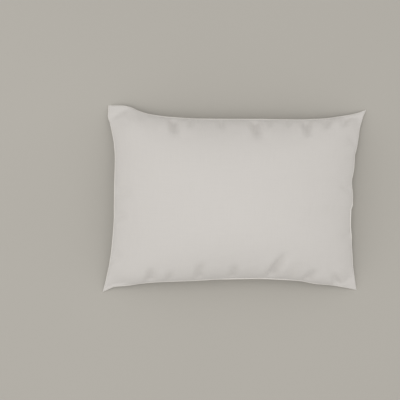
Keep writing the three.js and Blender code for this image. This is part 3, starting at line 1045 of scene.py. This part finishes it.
def stitch_tree(name, material):
    """Stitches of thread along a path: their pitch, length, thickness and slant are inputs."""
    tree = Tree(name)
    tree.socket("Path", "NodeSocketGeometry")
    names = {
        "pitch": tree.socket("Pitch", "NodeSocketFloat", default=0.0032),
        "length": tree.socket("Stitch length", "NodeSocketFloat", default=0.0026),
        "thread": tree.socket("Thread", "NodeSocketFloat", default=0.0004),
        "slant": tree.socket("Slant", "NodeSocketFloat", default=0.0),
    }
    tree.socket("Stitches", "NodeSocketGeometry", way="OUTPUT")
    entry = tree.node("NodeGroupInput").outputs
    curve = tree.node("GeometryNodeMeshToCurve", {}, {"Mesh": entry["Path"]}).outputs[0]
    places = tree.node(
        "GeometryNodeCurveToPoints", {"mode": "LENGTH"}, {"Curve": curve, "Length": entry["Pitch"]})
    along = tree.node(
        "FunctionNodeAlignRotationToVector", {"axis": "X"}, {"Vector": places.outputs["Tangent"]})
    slanted = tree.node("ShaderNodeCombineXYZ", {}, {"Z": entry["Slant"]}).outputs[0]
    turn = tree.node("FunctionNodeEulerToRotation", {}, {"Euler": slanted}).outputs[0]
    turned = tree.node("FunctionNodeRotateRotation", {"rotation_space": "LOCAL"}, {
        "Rotation": along.outputs[0], "Rotate By": turn}).outputs[0]
    ball = tree.node(
        "GeometryNodeMeshUVSphere", {}, {"Segments": 6, "Rings": 6, "Radius": 0.5}).outputs[0]
    size = tree.node("ShaderNodeCombineXYZ", {}, {
        "X": entry["Stitch length"], "Y": entry["Thread"], "Z": entry["Thread"]}).outputs[0]
    stitches = tree.node("GeometryNodeInstanceOnPoints", {}, {
        "Points": places.outputs["Points"], "Instance": ball, "Rotation": turned, "Scale": size,
    }).outputs[0]
    plain = tree.node("GeometryNodeRealizeInstances", {}, {"Geometry": stitches}).outputs[0]
    dressed = tree.node(
        "GeometryNodeSetMaterial", {}, {"Geometry": plain, "Material": material}).outputs[0]
    tree.node("NodeGroupOutput", {}, {"Stitches": dressed})
    return tree.tree, names


def stitch(name, paths, tree, names, **sizes):
    """Stitches along each of several lines of points, as one plain mesh."""
    points, edges = [], []
    for path in paths:
        first = len(points)
        points += [tuple(p) for p in path]
        edges += [(first + i, first + i + 1) for i in range(len(path) - 1)]
    mesh = bpy.data.meshes.new(name)
    mesh.from_pydata(points, edges, [])
    piece = bpy.data.objects.new(name, mesh)
    bpy.context.scene.collection.objects.link(piece)
    modifier = piece.modifiers.new("Stitches", "NODES")
    modifier.node_group = tree
    for key, value in sizes.items():
        modifier[names[key]] = value
    apply_modifiers(piece)
    piece.data.shade_smooth()
    return piece


class PILLOW_OT_stitching(bpy.types.Operator):
    """Make the rows of stitches that hold the case's seams and hems, and that close the ticking"""

    bl_idname = "pillow.make_stitching"
    bl_label = "Stitching"

    pitch: length_setting("Pitch", "From one stitch to the next", 0.0032)
    thread: length_setting("Thread", "Thickness of the thread", 0.00045)
    side_inset: length_setting("Side inset", "How far the hem's row stops short of the side seams", 0.022)
    closing_pitch: length_setting("Closing pitch", "From one closing stitch to the next", 0.0045)
    closing_length: length_setting("Closing length", "Length of a closing stitch", 0.006)
    closing_thread: length_setting("Closing thread", "Thickness of the closing thread", 0.0008)
    closing_slant: FloatProperty(name="Closing slant", description="Turn of a closing stitch", default=0.9)

    def execute(self, context):
        thread = spun_thread("thread", context.scene.pillow.case.colour)
        tree, names = stitch_tree("stitches", thread)
        row = dict(pitch=self.pitch, length=0.8 * self.pitch, thread=self.thread)
        topstitch = stitch("case_topstitch", self.rim_paths(), tree, names, **row)
        finish_piece(topstitch, thread, "thread", "case")
        hem_stitch = stitch("case_hem_stitch", [self.hem_path(context)], tree, names, **row)
        finish_piece(hem_stitch, thread, "thread", "case")
        closing = stitch(
            "ticking_closing_stitches", [self.closing_path()], tree, names, pitch=self.closing_pitch,
            length=self.closing_length, thread=self.closing_thread, slant=self.closing_slant)
        finish_piece(closing, thread, "thread", "insert", "ticking_closing_stitch")
        return {"FINISHED"}

    def rim_paths(self):
        """A row of stitches on both faces of each edge's rim, close to its seam."""
        paths = []
        for edge in EDGES:
            lines, _ = rim_lines(edge, (0.12, 0.12), (0.72, -0.72))
            paths += [lines[4:-4, 0], lines[4:-4, 1]]
        return paths

    def hem_path(self, context):
        """The row that holds the back panel's hem, on the outside."""
        back = SKINS["case_back"]
        across = np.linspace(-back.flat_y[-1] + self.side_inset, back.flat_y[-1] - self.side_inset, 200)
        along = back.flat_x[-1] - context.scene.pillow.case.back_hem
        return back.at(0 * across + along, across, -0.0001)

    def closing_path(self):
        """The row that closes the ticking, on the outside of its lower sheet at the node's place."""
        lower = SKINS["ticking_lower"]
        low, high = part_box("ticking_closing_stitch")
        column = lower.nearest((low + high) / 2)[0]
        across = np.interp(np.linspace(low.y, high.y, 60), lower.points[column, :, 1], lower.flat_y)
        return lower.at(0 * across + lower.flat_x[column], across, -0.0005)


# ---------- The insert ----------


# How far the insert stays from the case's front panel, and from its back panel with the flap on it.
UNDER_FRONT = 0.0016
OVER_BACK = 0.0042

# How far inside the ticking the fibre lies, and how much that changes in lumps. Near the seam it is at
# most a share of the room between the ticking's sheets, and the fibre never gets thinner than a hair.
LUMP_DEPTH = 0.0035
LUMP_CHANGE = 0.0015
LUMP_SHARE = 0.4
THINNEST_FIBRE = 0.0001


class PILLOW_OT_insert(bpy.types.Operator):
    """Make the insert's ticking, piping and filling"""

    bl_idname = "pillow.make_insert"
    bl_label = "Insert"

    def execute(self, context):
        settings = context.scene.pillow.insert
        ticking = twill("ticking", settings.colour)
        cushion = Cushion(
            INSERT_CORNERS, 0.75 * settings.piping, (INSERT_BOTTOM, INSERT_TOP), INSERT_TIPS,
            INSERT_CORNER_HEIGHT, INSERT_DRAWN)
        flat_x, flat_y, top, bottom = sew(
            cushion, settings.columns, settings.rows, INSERT_PUCKER, settings.give, INSERT_PRESSURE)
        self.hold(top, bottom)
        seam = self.hold_seam(top, bottom, settings.piping / 2)
        for name, points, inward, node in (
            ("ticking_upper", top, -1, "ticking_upper_panel"),
            ("ticking_lower", bottom, 1, "ticking_lower_panel"),
        ):
            SKINS[name] = Skin(flat_x, flat_y, points, inward)
            piece = sheet_piece(name, flat_x, flat_y, points, inward < 0, settings.cloth)
            finish_piece(piece, ticking, "ticking", "insert", node)
        self.piping(seam, settings.piping)
        self.filling(flat_x, flat_y)
        return {"FINISHED"}

    def hold(self, *grids, spare=0.0):
        """Keeps points between the case's front panel and the flap that lies on its back panel."""
        front, back = SKINS["case_front"], SKINS["case_back"]
        under_front, over_back = UNDER_FRONT + spare, OVER_BACK + spare
        for grid in grids:
            for point in grid.reshape(-1, 3):
                ceiling = front.height(point[0], point[1], 1.0) - under_front
                floor = back.height(point[0], point[1], -1.0) + over_back
                point[2] = (ceiling + floor) / 2 if floor > ceiling else min(max(point[2], floor), ceiling)

    def hold_seam(self, top, bottom, spare):
        """Leaves room for the piping at the ticking's seam, and returns the seam as one loop of points."""
        number = np.arange(top[..., 0].size).reshape(top.shape[:2])
        border = np.concatenate([number[:-1, 0], number[-1, :-1], number[:0:-1, -1], number[0, :0:-1]])
        loop = top.reshape(-1, 3)[border]
        self.hold(loop, spare=spare)
        for sheet in (top, bottom):
            sheet[np.unravel_index(border, number.shape)] = loop
        return loop

    def piping(self, loop, diameter):
        """Runs a round cord along the ticking's seam, a little outside it."""
        for _ in range(2):
            loop = (np.roll(loop, 1, 0) + 2 * loop + np.roll(loop, -1, 0)) / 4
        tangent = np.roll(loop, -1, 0) - np.roll(loop, 1, 0)
        tangent /= np.linalg.norm(tangent, axis=1, keepdims=True)
        level = np.cross(tangent, (0, 0, 1))
        level /= np.linalg.norm(level, axis=1, keepdims=True)
        loop = loop + level * diameter / 4
        upright = np.cross(level, tangent)
        turn = np.linspace(0, 2 * math.pi, 10, endpoint=False)[None, :, None]
        around = np.cos(turn) * level[:, None] + np.sin(turn) * upright[:, None]
        rings = loop[:, None] + diameter / 2 * around
        number = np.arange(rings[..., 0].size).reshape(rings.shape[:2])
        number = np.vstack([number, number[:1]])
        number = np.hstack([number, number[:, :1]])
        piece = new_object("ticking_piping_cord", rings.reshape(-1, 3), grid_faces(number))
        run = np.concatenate([[0], np.cumsum(np.linalg.norm(np.diff(loop, axis=0), axis=1))])
        set_uv(piece, np.stack(np.broadcast_arrays(run[:, None], turn[0, :, 0][None] * diameter / 2), -1))
        make_outward(piece)
        settings = bpy.context.scene.pillow.insert
        finish_piece(piece, corded("piping_cord", settings.colour), "piping_cord", "insert", "ticking_piping")

    def filling(self, flat_x, flat_y):
        """Fills the ticking with lumpy fibre."""
        grid_x, grid_y = np.meshgrid(flat_x[1:-1], flat_y[1:-1], indexing="ij")
        swell = waves(grid_x * 3 + grid_y, 0.09, 3) * waves(grid_y * 2 - grid_x, 0.11, 4)
        lumps = LUMP_DEPTH + LUMP_CHANGE * swell
        upper, lower = SKINS["ticking_upper"], SKINS["ticking_lower"]
        room = np.linalg.norm(upper.at(grid_x, grid_y) - lower.at(grid_x, grid_y), axis=-1)
        lumps = np.minimum(lumps, LUMP_SHARE * room)
        over, under = upper.at(grid_x, grid_y, lumps), lower.at(grid_x, grid_y, lumps)
        over[..., 2] = np.maximum(over[..., 2], under[..., 2] + THINNEST_FIBRE)
        piece = slab("fibre_batting", under, over, np.dstack([grid_x, grid_y]))
        finish_piece(piece, batting("fibre"), "fibre", "insert", "fibre_fill")


class PILLOW_OT_labels(bpy.types.Operator):
    """Make the blank labels caught in the case's near seam and in the ticking's"""

    bl_idname = "pillow.make_labels"
    bl_label = "Labels"

    care_label: size_setting("Care label", "Width and length of the case's label", (0.024, 0.045))
    ticking_label: size_setting("Ticking label", "Width and length of the insert's label", (0.036, 0.06))
    seam_ease: length_setting("Seam ease", "How far inside the seam a label shows", 0.003)
    cloth: length_setting("Cloth", "Thickness of a label", 0.00035)
    care_depth: length_setting("Care label depth", "How far inside the case's back panel it lies", 0.0009)
    ticking_depth: length_setting("Ticking label depth", "Negative outside the ticking", -0.0008)

    def execute(self, context):
        satin = satin_label("woven_label")
        self.lay(
            "case_care_label_cloth", "case_care_label", "case_back", self.care_label,
            self.care_depth, satin, "case")
        self.lay(
            "ticking_label_cloth", "ticking_label", "ticking_lower", self.ticking_label,
            self.ticking_depth, satin, "insert")
        return {"FINISHED"}

    def lay(self, name, node, skin_name, size, depth, material, body):
        """Lays a label along a skin, in from the near seam, where the frame has it."""
        skin = SKINS[skin_name]
        low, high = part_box(node)
        column = skin.nearest((low.x, low.y, high.z))[0]
        x = skin.flat_x[column] + np.linspace(0, size[0], 13)
        y = skin.column_places(column, self.seam_ease + np.linspace(0, size[1], 21))
        label = strip(name, skin, x, y, depth, self.cloth, RUFFLE, LABEL_SEED)
        finish_piece(label, material, "woven_label", body, node)


FLOOR_REACH = 40
STUDIO_COLOUR = (1, 0.99, 0.975, 1)
STUDIO_STRENGTH = 0.69

# The studio's lamps, aimed at the pillow: name, place, length and width, and power.
LAMPS = (
    ("overhead", (-0.3, 0, 2.6), (3.0, 1.0), 16),
    ("left_fill", (-2.4, 0, 1.3), (1.2, 1.6), 6.5),
    ("right_fill", (2.4, 0, 1.3), (1.2, 1.6), 5.5),
)

# The camera looks straight down from here, and takes in this width of the floor.
CAMERA_PLACE = (-0.0946, -0.0035)
SENSOR_WIDTH = 36
VIEW_WIDTH = 1.1


class PILLOW_OT_stage(bpy.types.Operator):
    """Make the floor, the light and the camera"""

    bl_idname = "pillow.make_stage"
    bl_label = "Stage"

    def execute(self, context):
        settings = context.scene.pillow.stage
        corners = [(x * FLOOR_REACH, y * FLOOR_REACH, 0) for x, y in ((-1, -1), (1, -1), (1, 1), (-1, 1))]
        floor = new_object("floor", corners, [(0, 1, 2, 3)], smooth=False)
        floor.data.materials.append(plain_floor("floor", settings.floor_colour))
        world = bpy.data.worlds.new("studio")
        world.use_nodes = True
        background = world.node_tree.nodes["Background"]
        background.inputs["Color"].default_value = STUDIO_COLOUR
        background.inputs["Strength"].default_value = STUDIO_STRENGTH
        context.scene.world = world
        for lamp in LAMPS:
            self.lamp(*lamp)
        camera = bpy.data.objects.new("camera", bpy.data.cameras.new("camera"))
        context.scene.collection.objects.link(camera)
        camera.location = (*CAMERA_PLACE, settings.camera_height)
        camera.data.sensor_width = SENSOR_WIDTH
        camera.data.lens = SENSOR_WIDTH * settings.camera_height / VIEW_WIDTH
        context.scene.camera = camera
        context.scene.view_settings.view_transform = "Standard"
        return {"FINISHED"}

    def lamp(self, name, place, size, power):
        lamp = bpy.data.lights.new(name, "AREA")
        lamp.shape, lamp.energy = "RECTANGLE", power
        lamp.size, lamp.size_y = size
        holder = bpy.data.objects.new(name, lamp)
        holder.location = place
        holder.rotation_euler = (-Vector(place)).to_track_quat("-Z", "Y").to_euler()
        bpy.context.scene.collection.objects.link(holder)


OPERATORS = (PILLOW_OT_stage, PILLOW_OT_case, PILLOW_OT_seams, PILLOW_OT_flap, PILLOW_OT_insert,
             PILLOW_OT_labels, PILLOW_OT_stitching)


class PILLOW_PT_panel(bpy.types.Panel):
    """Lists the pillow's operators."""

    bl_idname = "PILLOW_PT_panel"
    bl_label = "Bed pillow"
    bl_space_type = "VIEW_3D"
    bl_region_type = "UI"
    bl_category = "Pillow"

    def draw(self, context):
        for operator in OPERATORS:
            self.layout.operator(operator.bl_idname)


CLASSES = (CaseSettings, InsertSettings, StageSettings, PillowSettings, *OPERATORS, PILLOW_PT_panel)


def register():
    for item in CLASSES:
        bpy.utils.register_class(item)
    bpy.types.Scene.pillow = PointerProperty(type=PillowSettings)


def unregister():
    del bpy.types.Scene.pillow
    for item in reversed(CLASSES):
        bpy.utils.unregister_class(item)


def main():
    register()
    bpy.ops.pillow.make_stage()
    bpy.ops.pillow.make_case()
    bpy.ops.pillow.make_seams()
    bpy.ops.pillow.make_flap()
    bpy.ops.pillow.make_insert()
    bpy.ops.pillow.make_labels()
    bpy.ops.pillow.make_stitching()


if __name__ == "__main__":
    main()
